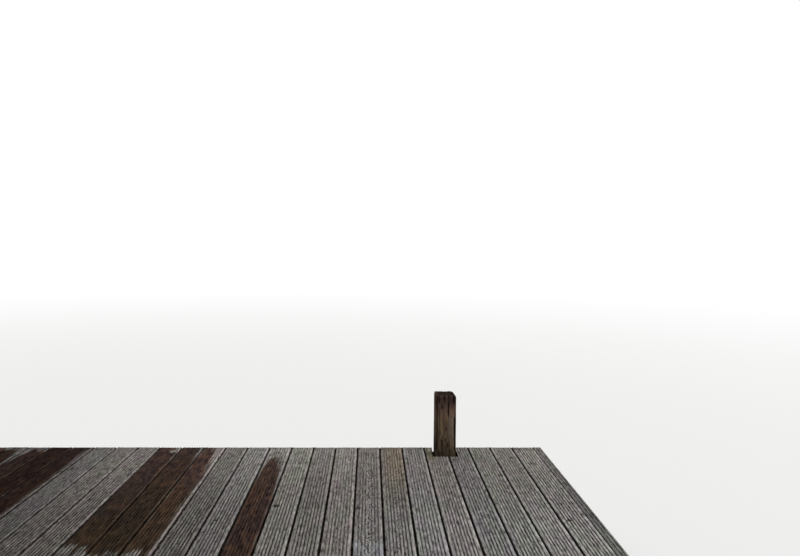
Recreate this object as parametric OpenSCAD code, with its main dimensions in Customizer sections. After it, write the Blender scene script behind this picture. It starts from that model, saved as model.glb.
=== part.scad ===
// Timber jetty: grooved deck boards on joists, paired crossheads and square piles.
// Millimetres. +X runs along the bank to the end with the ripped board, +Y out over the water.
// The origin is under the middle of the deck, at the level of the water, where the piles end.

/* [Deck boards] */
// Length of a board, from the bank edge to the water edge
board_l = 2680; // [2000:20:3200]
// Width of a board
board_w = 140; // [125:1:150]
// Thickness of a board, to the top of its ridges
board_t = 28; // [24:1:40]
// Gap between boards
board_gap = 10; // [6:1:12]
// Width of the ripped board that closes the right end
strip_w = 50; // [30:1:100]
// Gap between the ripped board and its neighbour
strip_gap = 4; // [2:1:8]
// Board that is in two lengths, meeting over the middle joist
spliced_board = 8; // [1:1:12]
// Gap between the two lengths of that board
splice_gap = 3; // [2:1:8]
// Height of the deck over the water
deck_h = 550; // [480:10:900]

/* [Grooves] */
// Grooves in the face of a board
grooves = 7; // [5:1:8]
// Width of a groove at the face
groove_w = 7; // [5:0.5:8]
// Width of a groove's floor
groove_floor = 4; // [2:0.5:5]
// Depth of a groove
groove_d = 3.5; // [2:0.5:5]
// Width of the plain ridge along each edge
edge_ridge = 17; // [12:0.5:20]
// Bevel of the upper edges
edge_bevel = 2; // [1:0.5:4]

/* [Bays] */
// Bays between the pile bents
bays = 4; // [2:1:6]
// Boards in a bay
bay_boards = 12; // [8:1:14]
// Whole boards outside the first bent
right_boards = 4; // [3:1:6]
// Whole boards outside the last bent
left_boards = 4; // [3:1:6]
// How far a bent stands to the left of the gap between its two boards
bent_off = 21; // [0:1:30]
// Bents from one mooring pile to the next
mooring_every = 2; // [1:1:3]

/* [Piles] */
// Side of a pile
pile_w = 136; // [110:1:160]
// Height of a mooring pile over the deck
mooring_h = 400; // [200:5:700]
// Bevel round the top of a mooring pile
mooring_bevel = 7; // [3:1:15]
// Width of the chip worn off one upper corner of a mooring pile
chip_w = 24; // [10:1:60]
// Slope of the chip
chip_slope = 40; // [20:1:60]
// Clearance beside a mooring pile in its notch
notch_side = 16; // [8:1:20]
// Clearance in front of a mooring pile in its notch
notch_front = 12; // [5:1:20]
// Clearance between a short pile and the boards over it
pile_clear = 5; // [2:1:20]

/* [Frame] */
// Lines of joists across the deck, an odd number so that one lies in the middle
joist_lines = 7; // [5:2:9]
// Width of a joist
joist_w = 63; // [45:1:100]
// Height of a joist
joist_h = 150; // [100:5:175]
// Width of a crosshead
crosshead_w = 63; // [45:1:75]
// Height of a crosshead
crosshead_h = 175; // [125:5:200]
// How far a crosshead is housed into the side of a pile
housing_d = 15; // [8:1:25]
// Clearance over a crosshead in its housing
housing_clear = 1; // [0.5:0.5:5]
// Thickness of the fascias and end planks
fascia_t = 32; // [20:1:45]
// Height of the fascias and end planks
fascia_h = 150; // [100:5:175]
// Overhang of the boards past the fascias and end planks
lip = 5; // [2:1:20]
// Gap where two lengths of timber meet end to end
joint_gap = 4; // [2:1:8]

/* [Hidden] */
grey_board = [0.43, 0.41, 0.39];
dark_pile = [0.28, 0.24, 0.19];
brown_frame = [0.36, 0.31, 0.25];

pitch = board_w + board_gap;
boards = right_boards + bays * bay_boards + left_boards;
deck_l = strip_w + strip_gap + boards * pitch - board_gap;
right_x = deck_l / 2;
water_y = board_l / 2;
first_edge = right_x - strip_w - strip_gap;

joist_top = deck_h - board_t;
crosshead_top = joist_top - joist_h;
pile_out = water_y - lip - fascia_t;
pile_in = pile_out - pile_w;
pile_y = (pile_out + pile_in) / 2;
frame_x = right_x - lip - fascia_t;
notch_w = pile_w + 2 * notch_side;
notch_y = pile_in - notch_front;

// Boards, bents and joists are counted from the right end and from the water.
function board_x(n) = first_edge - board_w / 2 - (n - 1) * pitch;
function last_board(bent) = right_boards + (bent - 1) * bay_boards;
function bent_x(bent) = first_edge - last_board(bent) * pitch + board_gap / 2 - bent_off;
function moored(bent) = (bent - 1) % mooring_every == 0;
function joist_y(line) = (pile_in - joist_w / 2) * (1 - 2 * (line - 1) / (joist_lines - 1));

bents = [1:bays + 1];
mooring_bents = [for (bent = bents) if (moored(bent)) bent];
short_bents = [for (bent = bents) if (!moored(bent)) bent];

// One groove of the board's face, as four corners from left to right.
function groove(centre) = [
    [centre - groove_w / 2, board_t],
    [centre - groove_floor / 2, board_t - groove_d],
    [centre + groove_floor / 2, board_t - groove_d],
    [centre + groove_w / 2, board_t]
];

// The grooved section: the outer grooves lie one edge ridge in, and the others share the rest.
module board_section() {
    first = -board_w / 2 + edge_ridge + groove_w / 2;
    step = -2 * first / (grooves - 1);
    polygon(concat(
        [[board_w / 2, 0], [-board_w / 2, 0], [-board_w / 2, board_t - edge_bevel],
            [-board_w / 2 + edge_bevel, board_t]],
        [for (i = [0:grooves - 1]) each groove(first + i * step)],
        [[board_w / 2 - edge_bevel, board_t], [board_w / 2, board_t - edge_bevel]]
    ));
}

module board(x) {
    translate([x, water_y, joist_top])
        rotate([90, 0, 0])
            linear_extrude(board_l)
                board_section();
}

module board_run(first, last) {
    color(grey_board)
        for (n = [first:last])
            difference() {
                board(board_x(n));
                if (n == spliced_board)
                    translate([board_x(n), 0, deck_h])
                        cube([2 * board_w, splice_gap, 4 * board_t], center = true);
            }
}

// The board that closes the right end is ripped along its outer side.
module ripped_board() {
    color(grey_board)
        intersection() {
            board(right_x - strip_w + board_w / 2);
            translate([right_x - strip_w, -water_y, 0])
                cube([strip_w, board_l, deck_h]);
        }
}

module right_end_boards() {
    ripped_board();
    board_run(1, right_boards - (moored(1) ? 1 : 0));
}

module bay_boards(bay) {
    board_run(last_board(bay) + (moored(bay) ? 2 : 1),
        last_board(bay + 1) - (moored(bay + 1) ? 1 : 0));
}

module left_end_boards() {
    board_run(last_board(bays + 1) + (moored(bays + 1) ? 2 : 1), boards);
}

// The two boards at a mooring pile share a notch that is open to the water.
module notched_boards(bent) {
    difference() {
        board_run(last_board(bent), last_board(bent) + 1);
        translate([bent_x(bent) - notch_w / 2, notch_y, 0])
            cube([notch_w, board_l, 2 * deck_h]);
    }
}

// Both sides of a pile are housed, so that the crossheads sit on a shoulder.
module housings() {
    for (side = [-1, 1])
        translate([side * pile_w / 2, 0, crosshead_top - (crosshead_h - housing_clear) / 2])
            cube([2 * housing_d, 2 * pile_w, crosshead_h + housing_clear], center = true);
}

module short_pile(bent, side) {
    color(dark_pile)
        translate([bent_x(bent), side * pile_y, 0])
            difference() {
                translate([-pile_w / 2, -pile_w / 2, 0])
                    cube([pile_w, pile_w, joist_top - pile_clear]);
                housings();
            }
}

// The bevelled side of a mooring pile, swept through its thickness.
module mooring_side() {
    top = deck_h + mooring_h;
    rotate([90, 0, 0])
        linear_extrude(pile_w, center = true)
            polygon([
                [-pile_w / 2, 0],
                [pile_w / 2, 0],
                [pile_w / 2, top - mooring_bevel],
                [pile_w / 2 - mooring_bevel, top],
                [-pile_w / 2 + mooring_bevel, top],
                [-pile_w / 2, top - mooring_bevel]
            ]);
}

// The chip widens from nothing at one corner to its full width at the next, and slopes down
// outwards. It faces right and to the water on the first mooring pile, and turns from pile to pile.
module chip(bent) {
    rotate([0, 0, 90 * (bent - 1) / mooring_every])
        translate([pile_w / 2, -pile_w / 2, deck_h + mooring_h])
            rotate([0, 0, atan(chip_w / pile_w)])
                rotate([0, chip_slope, 0])
                    translate([-pile_w, -pile_w, 0])
                        cube([3 * pile_w, 3 * pile_w, pile_w]);
}

module mooring_pile(bent) {
    color(dark_pile)
        translate([bent_x(bent), pile_y, 0])
            difference() {
                intersection() {
                    mooring_side();
                    rotate([0, 0, 90])
                        mooring_side();
                }
                housings();
                chip(bent);
            }
}

// A pair of crossheads clasps the two piles of a bent and carries the joists.
module crossheads(bent) {
    color(brown_frame)
        for (side = [-1, 1])
            translate([
                bent_x(bent) + side * (pile_w / 2 - housing_d + crosshead_w / 2),
                0,
                crosshead_top - crosshead_h / 2
            ])
                cube([crosshead_w, 2 * pile_out, crosshead_h], center = true);
}

// Timber along the deck, in lengths that meet end to end over the listed bents.
module lengths(reach, joints, t, h) {
    stops = concat([reach], [for (bent = joints) bent_x(bent)], [-reach]);
    last = len(stops) - 2;
    color(brown_frame)
        for (i = [0:last]) {
            right = stops[i] - (i > 0 ? joint_gap / 2 : 0);
            left = stops[i + 1] + (i < last ? joint_gap / 2 : 0);
            translate([left, -t / 2, joist_top - h])
                cube([right - left, t, h]);
        }
}

// The joints of neighbouring joists are staggered by one bent.
module joist(line) {
    joints = [for (bent = [2:bays]) if ((bent + line) % 2 == 0) bent];
    translate([0, joist_y(line), 0])
        lengths(frame_x, joints, joist_w, joist_h);
}

module fascia(side) {
    joints = [for (bent = [2:bays]) if (bent % 2 == 1) bent];
    translate([0, side * (pile_out + fascia_t / 2), 0])
        lengths(right_x - lip, joints, fascia_t, fascia_h);
}

module end_plank(side) {
    color(brown_frame)
        translate([side * (frame_x + fascia_t / 2), 0, joist_top - fascia_h / 2])
            cube([fascia_t, 2 * pile_out, fascia_h], center = true);
}

right_end_boards();
left_end_boards();
for (bay = [1:bays])
    bay_boards(bay);
for (bent = mooring_bents)
    notched_boards(bent);
for (bent = mooring_bents)
    mooring_pile(bent);
for (bent = short_bents)
    short_pile(bent, 1);
for (bent = bents)
    short_pile(bent, -1);
for (bent = bents)
    crossheads(bent);
for (line = [1:joist_lines])
    joist(line);
fascia(1);  // water_fascia
fascia(-1);  // bank_fascia
end_plank(1);  // right_end_plank
end_plank(-1);  // left_end_plank
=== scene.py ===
"""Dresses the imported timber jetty: split piles, sawn timbers, grooved boards with the dirt between
them, and their fixings."""

import bpy
import numpy as np
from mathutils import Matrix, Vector


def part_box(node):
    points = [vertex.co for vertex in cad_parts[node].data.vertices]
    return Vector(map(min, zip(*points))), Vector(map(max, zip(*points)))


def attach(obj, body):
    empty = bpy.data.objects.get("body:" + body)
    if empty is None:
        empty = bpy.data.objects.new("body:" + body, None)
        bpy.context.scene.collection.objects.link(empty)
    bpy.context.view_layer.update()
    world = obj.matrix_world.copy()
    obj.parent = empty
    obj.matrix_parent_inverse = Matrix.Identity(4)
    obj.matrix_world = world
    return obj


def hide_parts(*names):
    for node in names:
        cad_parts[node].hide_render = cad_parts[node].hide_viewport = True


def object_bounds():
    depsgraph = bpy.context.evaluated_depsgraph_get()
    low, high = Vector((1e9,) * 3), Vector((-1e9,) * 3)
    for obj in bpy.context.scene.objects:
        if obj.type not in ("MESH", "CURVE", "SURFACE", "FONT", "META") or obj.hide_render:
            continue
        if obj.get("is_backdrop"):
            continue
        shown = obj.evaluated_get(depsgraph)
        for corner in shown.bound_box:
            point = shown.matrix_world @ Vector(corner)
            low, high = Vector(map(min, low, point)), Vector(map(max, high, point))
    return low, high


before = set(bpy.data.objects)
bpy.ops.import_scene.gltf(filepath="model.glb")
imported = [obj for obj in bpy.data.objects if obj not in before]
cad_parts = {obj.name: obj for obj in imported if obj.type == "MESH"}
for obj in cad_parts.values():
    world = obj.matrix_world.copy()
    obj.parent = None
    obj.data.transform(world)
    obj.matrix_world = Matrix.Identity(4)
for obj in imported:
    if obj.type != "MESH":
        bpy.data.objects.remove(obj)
cad_low, cad_high = (np.array(corner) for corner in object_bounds())
deck_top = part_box("bay_boards_1")[1][2]
bpy.context.scene.view_settings.view_transform = "Standard"

# The view
# From the near side at eye height, straight along the boards and a little downwards. The boards'
# lines meet left of the picture's middle, which a small sideways shift of the lens gives.
PICTURE_W = 800
PICTURE_H = 556
FOCAL = 622
MEETING_X = 370
MEETING_Y = 240
EYE_OVER_DECK = 1.4165
EYE_TO_FAR_EDGE = 4.1855
EYE_TO_RIGHT_END = 1.166

lens = bpy.data.cameras.new("eye")
lens.lens = lens.sensor_width * FOCAL / PICTURE_W
lens.shift_x = 0.5 - MEETING_X / PICTURE_W
camera = bpy.data.objects.new("eye", lens)
camera.location = (
    cad_high[0] - EYE_TO_RIGHT_END,
    cad_high[1] - EYE_TO_FAR_EDGE,
    deck_top + EYE_OVER_DECK,
)
dip = np.arctan((PICTURE_H / 2 - MEETING_Y) / FOCAL)
camera.rotation_euler = (np.pi / 2 - dip, 0, 0)
bpy.context.collection.objects.link(camera)
bpy.context.scene.camera = camera


# The room
# A pale floor at the level where the piles end, which turns white in the distance, two broad soft
# lamps overhead, and a dim even surround that the camera and all glossy surfaces see as white.
FLOOR_REACH = 60
FLOOR_FADE = (4.0, 22.0)
FLOOR_PALE = (0.80, 0.80, 0.79, 1)
FLOOR_DULL = (0.30, 0.30, 0.30, 1)
SURROUND = 0.30
LAMP_SPREAD = 50

# A lamp's strength, and the direction that its light comes from
LAMPS = {"near_lamp": (1.9, (0.40, -0.55, 1)), "far_lamp": (0.95, (-0.45, 0.45, 1.3))}


class Wire:
    """A value in a material. Sums, differences and products of wires and numbers add Math nodes."""

    def __init__(self, finish, socket):
        self.finish = finish
        self.socket = socket

    def math(self, operation, *others):
        return self.finish.math(operation, self, *others)

    def __add__(self, other):
        return self.math("ADD", other)

    def __sub__(self, other):
        return self.math("SUBTRACT", other)

    def __rsub__(self, other):
        return self.finish.math("SUBTRACT", other, self)

    def __mul__(self, other):
        return self.math("MULTIPLY", other)

    __radd__ = __add__
    __rmul__ = __mul__

    def rise(self, low, high):
        """A smooth step from 0 at low to 1 at high, or the other way round if low is the larger."""
        settings = {"interpolation_type": "SMOOTHSTEP"}
        inputs = {"Value": self, "From Min": low, "From Max": high}
        return self.finish.node("ShaderNodeMapRange", settings, inputs)

    def split(self):
        """The three parts of a vector."""
        return [self.finish.node("ShaderNodeSeparateXYZ", {}, {0: self}, part) for part in range(3)]


class Finish:
    """A material under work: its methods add nodes and give their results as wires."""

    def __init__(self, name, tree=None):
        self.material = None if tree else bpy.data.materials.new(name)
        if self.material:
            self.material.use_nodes = True
        self.tree = tree or self.material.node_tree
        self.tree.nodes.clear()

    def node(self, kind, settings, inputs, output=0):
        """Adds a node with its settings first, then a number or a wire at each input."""
        made = self.tree.nodes.new(kind)
        for name, value in settings.items():
            setattr(made, name, value)
        for place, value in inputs.items():
            if isinstance(value, Wire):
                self.tree.links.new(value.socket, made.inputs[place])
            else:
                made.inputs[place].default_value = value
        return Wire(self, made.outputs[output]) if len(made.outputs) else None

    def math(self, operation, *values):
        return self.node("ShaderNodeMath", {"operation": operation}, dict(enumerate(values)))

    def mark(self, name, output="Fac"):
        """What the mesh says about a point under this name."""
        return self.node("ShaderNodeAttribute", {"attribute_name": name}, {}, output)

    def place(self):
        """The point itself, in metres."""
        return self.node("ShaderNodeTexCoord", {}, {}, "Object")

    def stretch(self, lie, across, along):
        """The lie of the grain, times so many cells a metre across and along it."""
        settings = {"operation": "MULTIPLY"}
        return self.node("ShaderNodeVectorMath", settings, {0: lie, 1: (across, across, along)})

    def noise(self, lie, across, along, detail=2.0):
        """Soft noise, mostly 0.3 to 0.7, with so many swings a metre across and along the grain."""
        inputs = {"Vector": self.stretch(lie, across, along), "Scale": 1.0, "Detail": detail}
        return self.node("ShaderNodeTexNoise", {}, inputs)

    def blend(self, share, first, second, mode="MIX"):
        """The first colour turning into the second as the share goes from 0 to 1."""
        settings = {"data_type": "RGBA", "blend_type": mode}
        return self.node("ShaderNodeMix", settings, {0: share, 6: first, 7: second}, 2)

    def dim(self, colour, share):
        """A colour times a number."""
        return self.node("ShaderNodeVectorMath", {"operation": "SCALE"}, {0: colour, 3: share})

    def tint(self, colour, cast):
        """A colour times another."""
        return self.blend(1.0, colour, cast, "MULTIPLY")

    def away(self, point, spot):
        """How far a point lies from a spot, in metres."""
        inputs = {0: point, 1: spot}
        return self.node("ShaderNodeVectorMath", {"operation": "DISTANCE"}, inputs, 1)

    def growth_rings(self, lie, tightness, wobble):
        """From 0 to 1 and back in rings: half of 1 + sine of the distance from the log's centre,
        times the tightness, plus the wobble."""
        a, b, _ = lie.split()
        return ((a * a + b * b).math("SQRT") * tightness + wobble).math("SINE") * 0.5 + 0.5

    def end(self, colour, roughness, relief, metallic=0.0, gloss=0.0):
        """Ends the material in a shader, with the relief in metres turned into its normal."""
        normal = self.node("ShaderNodeBump", {}, {"Height": relief, "Distance": 1.0})
        inputs = {
            "Base Color": colour,
            "Roughness": roughness,
            "Metallic": metallic,
            "Specular IOR Level": gloss,
            "Normal": normal,
        }
        shader = self.node("ShaderNodeBsdfPrincipled", {}, inputs)
        self.node("ShaderNodeOutputMaterial", {}, {"Surface": shader})
        return self.material


def pale_floor():
    """Pale to the camera, with the jetty's shadow, and white further off, where it meets the white
    surround. Duller for the light that it throws back up at the jetty."""
    finish = Finish("pale_floor")
    seen = finish.node("ShaderNodeLightPath", {}, {}, "Is Camera Ray")
    colour = finish.blend(seen, FLOOR_DULL, FLOOR_PALE)
    shader = finish.node("ShaderNodeBsdfDiffuse", {}, {"Color": colour})
    white = finish.node("ShaderNodeEmission", {}, {"Color": (1, 1, 1, 1), "Strength": 1.0})
    x, y, _ = finish.place().split()
    far = (x * x + y * y).math("SQRT").rise(*FLOOR_FADE) * seen
    shader = finish.node("ShaderNodeMixShader", {}, {0: far, 1: shader, 2: white})
    finish.node("ShaderNodeOutputMaterial", {}, {"Surface": shader})
    return finish.material


def surround():
    """White to the camera, to glossy and to clear surfaces, and dim for the light on the jetty."""
    world = bpy.data.worlds.new("surround")
    bpy.context.scene.world = world
    world.use_nodes = True
    finish = Finish("surround", world.node_tree)
    rays = ("Is Camera Ray", "Is Glossy Ray", "Is Transmission Ray")
    camera_ray, glossy_ray, clear_ray = (
        finish.node("ShaderNodeLightPath", {}, {}, ray) for ray in rays
    )
    seen = (camera_ray + glossy_ray + clear_ray).math("MINIMUM", 1.0)
    inputs = {"Color": (1, 1, 1, 1), "Strength": SURROUND + (1 - SURROUND) * seen}
    background = finish.node("ShaderNodeBackground", {}, inputs)
    finish.node("ShaderNodeOutputWorld", {}, {"Surface": background})


floor_mesh = bpy.data.meshes.new("floor")
corners = FLOOR_REACH * np.array([[-1, -1, 0], [1, -1, 0], [1, 1, 0], [-1, 1, 0]])
floor_mesh.from_pydata(corners.tolist(), [], [(0, 1, 2, 3)])
floor_mesh.materials.append(pale_floor())
floor = bpy.data.objects.new("floor", floor_mesh)
bpy.context.collection.objects.link(floor)
floor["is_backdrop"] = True
surround()
for name, (strength, direction) in LAMPS.items():
    sun = bpy.data.lights.new(name, "SUN")
    sun.energy = strength
    sun.angle = np.radians(LAMP_SPREAD)
    lamp = bpy.data.objects.new(name, sun)
    lamp.rotation_euler = Vector(direction).to_track_quat("Z", "Y").to_euler()
    bpy.context.collection.objects.link(lamp)


# The piles
# Square hardwood baulks, driven in two rows. Over the deck they are split by drying and their tops
# are dark and soft; their feet are black with algae. One corner of a mooring pile is chipped.
BENTS = 5
PILE_SPACING = 0.0034
PILE_ARRIS = 0.007
CHIP_W = 0.019
CHIP_SLOPE = 40
LEAN = 0.003
END_RINGS = 8
BLOTCH_TABLE = (97, 89)

# Depths of the hollows, ribs and knots in a face, and how far down and in its top is rounded
HOLLOW_D = 0.0009
RIB_D = 0.0009
KNOT_D = 0.0015
ROUNDED_TOP = (0.016, 0.005)

# Splits, their wander and the lengths in which they fade, the splits of a weathered crown, knots and
# worn patches: half widths, and the ranges that the rest is drawn from
SPLIT_W = 0.0028
SPLIT_LENGTHS = (0.10, 0.35)
SPLIT_DEPTHS = (0.004, 0.012)
SPLIT_WANDER = 0.004
SPLIT_FADES = (0.06, 0.03)
CROWN_SPACING = 0.024
CROWN_LENGTHS = (0.05, 0.13)
CROWN_DEPTHS = (0.006, 0.011)
KNOT_RADII = (0.006, 0.013)
WORN_HALF_W = 0.020
WORN_HALF_H = (0.04, 0.08)

PILE_BROWN = (0.103, 0.072, 0.053, 1)
PILE_OCHRE = (0.166, 0.120, 0.070, 1)
PILE_DARK_OVER_DECK = (0.022, 0.019, 0.013, 1)
PILE_DARK = (0.020, 0.015, 0.012, 1)
PILE_WORN = (0.265, 0.206, 0.152, 1)
PILE_SPLIT = (0.017, 0.010, 0.007, 1)
PILE_ALGAE = (0.016, 0.021, 0.010, 1)
PILE_CAST = (1.06, 0.95, 1.06, 1)

# The near face of the first mooring pile, its side number 3: each split as its place right of the
# middle, its lower and upper end over the deck, half its width and its depth, each knot as place,
# height and radius, and each worn patch as place, height and half its width and height.
FRONT = 3
FRONT_SPLITS = [
    (0.0135, 0.230, 0.380, 0.0042, 0.006),
    (0.004, 0.165, 0.250, 0.0030, 0.003),
    (-0.013, 0.100, 0.195, 0.0040, 0.003),
    (-0.028, 0.010, 0.125, 0.0045, 0.003),
    (-0.013, 0.325, 0.43, 0.0050, 0.006),
    (-0.046, 0.320, 0.43, 0.0045, 0.006),
    (0.015, 0.345, 0.43, 0.0045, 0.007),
    (0.050, 0.315, 0.43, 0.0050, 0.006),
    # These two run down the edges: on the left painted shade of the side face beyond it, on the right a
    # worn dark arris with painted shade
    (-0.060, 0.000, 0.43, 0.0050, 0.006),
    (0.058, 0.000, 0.270, 0.0050, 0.006),
]
FRONT_KNOTS = [
    # The first is no knot but the dark under the chipped corner: painted shadow, and partly damp wood
    (0.054, 0.372, 0.016),
    (-0.026, 0.325, 0.011),
    (0.000, 0.178, 0.006),
    (-0.019, 0.127, 0.008),
    (-0.005, 0.102, 0.009),
    (0.011, 0.070, 0.011),
    (-0.027, 0.096, 0.010),
    (-0.024, 0.070, 0.010),
    (-0.026, 0.042, 0.011),
    (-0.022, 0.016, 0.012),
    (-0.046, 0.012, 0.014),
    (0.026, 0.030, 0.007),
]
FRONT_WORN = [
    (0.034, 0.225, 0.014, 0.060),
    (0.035, 0.150, 0.014, 0.050),
    (0.036, 0.080, 0.014, 0.045),
]


def box(node):
    """The low and the high corner of a node."""
    return [np.array(corner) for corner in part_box(node)]


def blotches(u, v, across, along, rng):
    """Values from -1 to 1: random numbers at the corners of a grid with so many cells a metre, and
    between them a blend by the smooth step 3t^2 - 2t^3."""
    u, v = np.broadcast_arrays(u * across, v * along)
    column, row = np.floor(u).astype(int), np.floor(v).astype(int)
    share_u, share_v = u - column, v - row
    share_u = share_u * share_u * (3 - 2 * share_u)
    share_v = share_v * share_v * (3 - 2 * share_v)
    table = rng.uniform(-1, 1, BLOTCH_TABLE)

    def corner(i, j):
        return table[(column + i) % BLOTCH_TABLE[0], (row + j) % BLOTCH_TABLE[1]]

    left = corner(0, 0) * (1 - share_v) + corner(0, 1) * share_v
    right = corner(1, 0) * (1 - share_v) + corner(1, 1) * share_v
    return left * (1 - share_u) + right * share_u


def smooth_step(value, low, high):
    """From 0 at low to 1 at high by 3t^2 - 2t^3."""
    share = np.clip((value - low) / (high - low), 0, 1)
    return share * share * (3 - 2 * share)


def tube(points, marks):
    """A closed skin over rings of points: quads between neighbouring rings, and one face over each
    end ring. The rings run anticlockwise for someone who looks along the tube."""
    rows, around = points.shape[:2]
    first = np.arange(rows - 1)[:, None] * around
    here = first + np.arange(around)
    beside = first + (np.arange(around) + 1) % around
    quads = np.stack([here, here + around, beside + around, beside], -1).reshape(-1, 4)
    near = np.arange(around)[None]
    far = ((rows - 1) * around + np.arange(around)[::-1])[None]
    return {
        "points": points.reshape(-1, 3),
        "faces": [quads, near, far],
        "marks": {name: mark.reshape(rows * around, -1) for name, mark in marks.items()},
    }


def put(name, nodes, parts, material, crease=35):
    """Joins parts into one piece at the origin, which rides on the jetty and replaces its nodes."""
    points = np.concatenate([part["points"] for part in parts])
    starts = np.cumsum([0] + [len(part["points"]) for part in parts])
    faces = [face + start for part, start in zip(parts, starts) for face in part["faces"]]
    corners = np.concatenate([face.ravel() for face in faces])
    sizes = np.concatenate([np.full(len(face), face.shape[1]) for face in faces])
    mesh = bpy.data.meshes.new(name)
    mesh.vertices.add(len(points))
    mesh.vertices.foreach_set("co", points.ravel())
    mesh.loops.add(len(corners))
    mesh.loops.foreach_set("vertex_index", corners)
    mesh.polygons.add(len(sizes))
    mesh.polygons.foreach_set("loop_start", np.cumsum(sizes) - sizes)
    mesh.polygons.foreach_set("use_smooth", np.ones(len(sizes), bool))
    mesh.update(calc_edges=True)
    kinds = {1: ("FLOAT", "value"), 3: ("FLOAT_VECTOR", "vector"), 4: ("FLOAT_COLOR", "color")}
    for mark in parts[0]["marks"]:
        values = np.concatenate([part["marks"][mark] for part in parts])
        kind, field = kinds[values.shape[1]]
        mesh.attributes.new(mark, kind, "POINT").data.foreach_set(field, values.ravel())
    mesh.set_sharp_from_angle(angle=np.radians(crease))
    mesh.materials.append(material)
    piece = bpy.data.objects.new(name, mesh)
    bpy.context.collection.objects.link(piece)
    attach(piece, "root")
    if nodes:
        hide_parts(*nodes)


def squared_ring(half_a, half_b, arris, spacing):
    """Points round a rectangle with rounded corners, anticlockwise from its lower side, as complex
    numbers, with the outward direction, the number of the side, and the way along the side."""
    places, outwards, sides, ways = [], [], [], []
    turn = np.radians(np.linspace(-67.5, -22.5, 3))
    for side in range(4):
        across, along = ((half_b, half_a), (half_a, half_b))[side % 2]
        reach = along - arris
        count = max(3, int(np.ceil(2 * reach / spacing)))
        way = np.linspace(-reach, reach, count)
        straight = way - 1j * across
        corner = reach - 1j * (across - arris) + arris * np.exp(1j * turn)
        places += [np.concatenate([straight, corner]) * 1j**side]
        outwards += [np.concatenate([np.full(count, -1j), np.exp(1j * turn)]) * 1j**side]
        sides += [np.full(count + 3, side)]
        ways += [np.concatenate([way, np.full(3, along)])]
    return [np.concatenate(value) for value in (places, outwards, sides, ways)]


def squared_timber(low, high, way, spacing, step, arris, rng, wear, top=None):
    """A sawn timber that fills its box and runs along axis number way. A ring with rounded arrises
    is carried from end to end, pushed inwards by what wear gives, and closed over each end by
    smaller rings. Its lie puts the growth rings' centre beside it, as in a sawn log."""
    low, high = np.array(low), np.array(high)
    axis_a, axis_b = (way + 2) % 3, (way + 1) % 3
    half = (high - low) / 2
    middle = (high + low) / 2
    place, outward, side, across = squared_ring(half[axis_a], half[axis_b], arris, spacing)
    rows = max(2, int(round((high - low)[way] / step)))
    along = np.linspace(low[way] + arris / 2, high[way] - arris / 2, rows)
    along = np.concatenate([[low[way]], along, [high[way]]])
    depth, sway, seen = wear(side, across, along[:, None])
    depth[[0, -1]] += arris / 2
    ring = place - outward * depth
    caps = np.linspace(1, 0.02, END_RINGS + 1)[1:]
    ring = np.concatenate([ring[0] * caps[::-1, None], ring, ring[-1] * caps[:, None]])
    length = np.pad(along, END_RINGS, "edge")
    points = np.zeros((*ring.shape, 3))
    points[..., axis_a] = ring.real + middle[axis_a]
    points[..., axis_b] = ring.imag + middle[axis_b]
    points[..., way] = length[:, None]
    pith = rng.uniform(0.5, 1.6) * half.max() * np.exp(2j * np.pi * rng.uniform())
    sway = np.pad(sway, ((END_RINGS, END_RINGS), (0, 0)))
    grain = ring + sway * outward * 1j - pith
    lie = np.stack([grain.real, grain.imag, points[..., way] + rng.uniform(-9, 9)], -1)
    inner = smooth_step(caps, 0.2, 0.9)[:, None]
    end = np.zeros(ring.shape)
    end[:END_RINGS] = end[-END_RINGS:] = 1
    if top:
        points = top(points, ring)
    marks = {"lie": lie, "end": end}
    for name, mark in seen.items():
        marks[name] = np.concatenate([mark[0] * inner[::-1], mark, mark[-1] * inner])
    return tube(points, marks)


def pile_wear(rng, splits, knots, worn_patches, deck, top):
    """How far the faces of a pile have worn in: broad hollows, ribs that grow towards the top, and
    splits, which are bell curves across the grain that wander and fade out at their ends. Round a
    knot the grain swings out by r * tanh(a / r), a being the distance across. A worn patch, where
    the dark skin is gone, is a bell curve both ways."""

    def wear(side, across, height):
        round_the_pile = across + side * 0.3
        aged = 0.25 + 0.75 * smooth_step(height, deck, top)
        depth = HOLLOW_D * (1 + blotches(round_the_pile, height, 25, 4, rng))
        depth = depth + RIB_D * aged * (1 + blotches(round_the_pile, height, 150, 9, rng))
        depth = depth + ROUNDED_TOP[1] * smooth_step(height, top - ROUNDED_TOP[0], top) ** 2
        crack = np.zeros_like(depth)
        knot = np.zeros_like(depth)
        worn = np.zeros_like(depth)
        sway = np.zeros_like(depth)
        for face, start, low, high, width, cut in splits:
            line = start + SPLIT_WANDER * blotches(0.5 + start, height, 1, 14, rng)
            fade = smooth_step(height, low, low + SPLIT_FADES[0])
            fade = fade * (1 - smooth_step(height, high - SPLIT_FADES[1], high))
            bell = np.exp(-(((across - line) / width) ** 2)) * fade * (side == face)
            depth = depth + cut * bell
            crack = np.maximum(crack, bell * min(1, cut / 0.008))
        for face, start, level, radius in knots:
            away, up = across - start, height - level
            spot = np.exp(-((away / radius) ** 2) - (up / (2 * radius)) ** 2)
            knot = np.maximum(knot, spot * (side == face))
            near = np.exp(-((up / (2.2 * radius)) ** 2) - (away / (3.5 * radius)) ** 2)
            sway = sway - radius * np.tanh(away / radius) * near * (side == face)
        for face, start, level, half_w, half_h in worn_patches:
            away, up = (across - start) / half_w, (height - level) / half_h
            worn = np.maximum(worn, np.exp(-(away**2) - up**2) * (side == face))
        return depth + KNOT_D * knot, sway, {"crack": crack, "knot": knot, "worn": worn}

    return wear


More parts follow.
